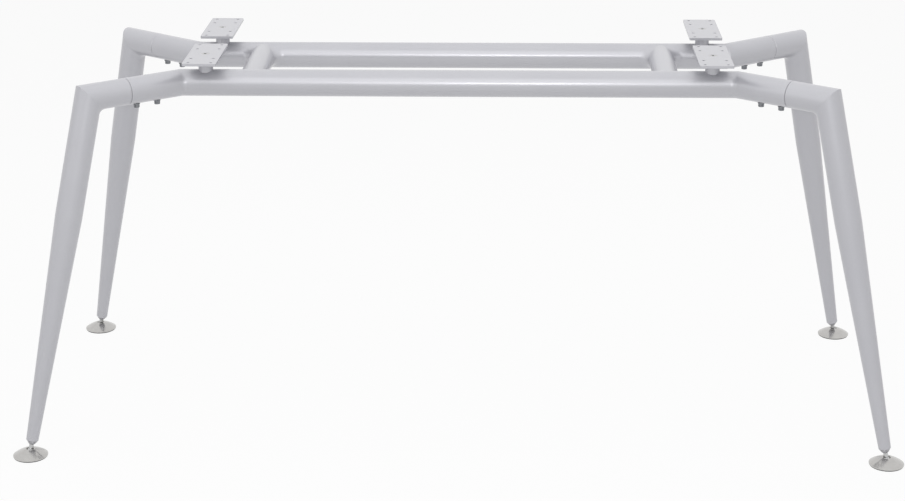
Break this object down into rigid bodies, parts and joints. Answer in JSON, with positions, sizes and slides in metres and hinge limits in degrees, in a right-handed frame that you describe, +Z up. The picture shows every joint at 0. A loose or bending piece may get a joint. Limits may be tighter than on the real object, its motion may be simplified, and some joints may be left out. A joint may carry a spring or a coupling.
{
  "type": "four-leg table base",
  "caption": "Table base of round silver tube: two bent beams, cross tubes, raised top plates, leaning tapered legs bolted at the corners, and swivelling levelling feet.",
  "frame": {"origin": "on the floor, under the middle of the base", "axes": "+X along the beams to the right, +Y from the front beam to the rear beam, +Z up"},
  "size_m": [1.5982, 0.704, 0.695],
  "materials": {
    "silver_paint": "silver powder coat, satin",
    "fastener_steel": "grey zinc plate",
    "spigot_steel": "bare drawn steel",
    "foot_chrome": "polished nickel-chrome plate",
    "stem_zinc": "bright zinc plate",
    "pad_plastic": "black moulded plastic"
  },
  "bodies": {
    "frame": {"front_beam_tube": "silver_paint", "rear_beam_tube": "silver_paint", "left_cross_tube": "silver_paint", "right_cross_tube": "silver_paint", "joint_bolts": "fastener_steel", "joint_washers": "fastener_steel", "plate_screws": "stem_zinc", "front_left_arm_tube": "silver_paint", "front_left_leg_stub": "silver_paint", "front_left_leg_spigot": "spigot_steel", "front_left_mount_post": "silver_paint", "front_left_mount_plate": "silver_paint", "front_left_leg_tube": "silver_paint", "front_left_leg_end_plug": "silver_paint", "front_right_arm_tube": "silver_paint", "front_right_leg_stub": "silver_paint", "front_right_leg_spigot": "spigot_steel", "front_right_mount_post": "silver_paint", "front_right_mount_plate": "silver_paint", "front_right_leg_tube": "silver_paint", "front_right_leg_end_plug": "silver_paint", "rear_left_arm_tube": "silver_paint", "rear_left_leg_stub": "silver_paint", "rear_left_leg_spigot": "spigot_steel", "rear_left_mount_post": "silver_paint", "rear_left_mount_plate": "silver_paint", "rear_left_leg_tube": "silver_paint", "rear_left_leg_end_plug": "silver_paint", "rear_right_arm_tube": "silver_paint", "rear_right_leg_stub": "silver_paint", "rear_right_leg_spigot": "spigot_steel", "rear_right_mount_post": "silver_paint", "rear_right_mount_plate": "silver_paint", "rear_right_leg_tube": "silver_paint", "rear_right_leg_end_plug": "silver_paint"},
    "front_left_stem": {"front_left_foot_stem": "stem_zinc"},
    "front_left_foot": {"front_left_foot_cover": "foot_chrome", "front_left_foot_pad": "pad_plastic"},
    "front_right_stem": {"front_right_foot_stem": "stem_zinc"},
    "front_right_foot": {"front_right_foot_cover": "foot_chrome", "front_right_foot_pad": "pad_plastic"},
    "rear_left_stem": {"rear_left_foot_stem": "stem_zinc"},
    "rear_left_foot": {"rear_left_foot_cover": "foot_chrome", "rear_left_foot_pad": "pad_plastic"},
    "rear_right_stem": {"rear_right_foot_stem": "stem_zinc"},
    "rear_right_foot": {"rear_right_foot_cover": "foot_chrome", "rear_right_foot_pad": "pad_plastic"}
  },
  "joints": [
    {"name": "front_left_level", "type": "slide", "parent": "frame", "child": "front_left_stem", "axis": [-0.1906, -0.1489, -0.9703], "range_m": [-0.004, 0.012]},
    {"name": "front_left_tilt", "type": "hinge", "parent": "front_left_stem", "child": "front_left_foot", "pos_m": [-0.76807, -0.321, 0.0094], "axis": [-0.6157, 0.788, 0], "range_deg": [-6, 34]},
    {"name": "front_right_level", "type": "slide", "parent": "frame", "child": "front_right_stem", "axis": [0.1906, -0.1489, -0.9703], "range_m": [-0.004, 0.012]},
    {"name": "front_right_tilt", "type": "hinge", "parent": "front_right_stem", "child": "front_right_foot", "pos_m": [0.76807, -0.321, 0.0094], "axis": [-0.6157, -0.788, 0], "range_deg": [-6, 34]},
    {"name": "rear_left_level", "type": "slide", "parent": "frame", "child": "rear_left_stem", "axis": [-0.1906, 0.1489, -0.9703], "range_m": [-0.004, 0.012]},
    {"name": "rear_left_tilt", "type": "hinge", "parent": "rear_left_stem", "child": "rear_left_foot", "pos_m": [-0.76807, 0.321, 0.0094], "axis": [0.6157, 0.788, 0], "range_deg": [-6, 34]},
    {"name": "rear_right_level", "type": "slide", "parent": "frame", "child": "rear_right_stem", "axis": [0.1906, 0.1489, -0.9703], "range_m": [-0.004, 0.012]},
    {"name": "rear_right_tilt", "type": "hinge", "parent": "rear_right_stem", "child": "rear_right_foot", "pos_m": [0.76807, 0.321, 0.0094], "axis": [0.6157, -0.788, 0], "range_deg": [-6, 34]}
  ]
}
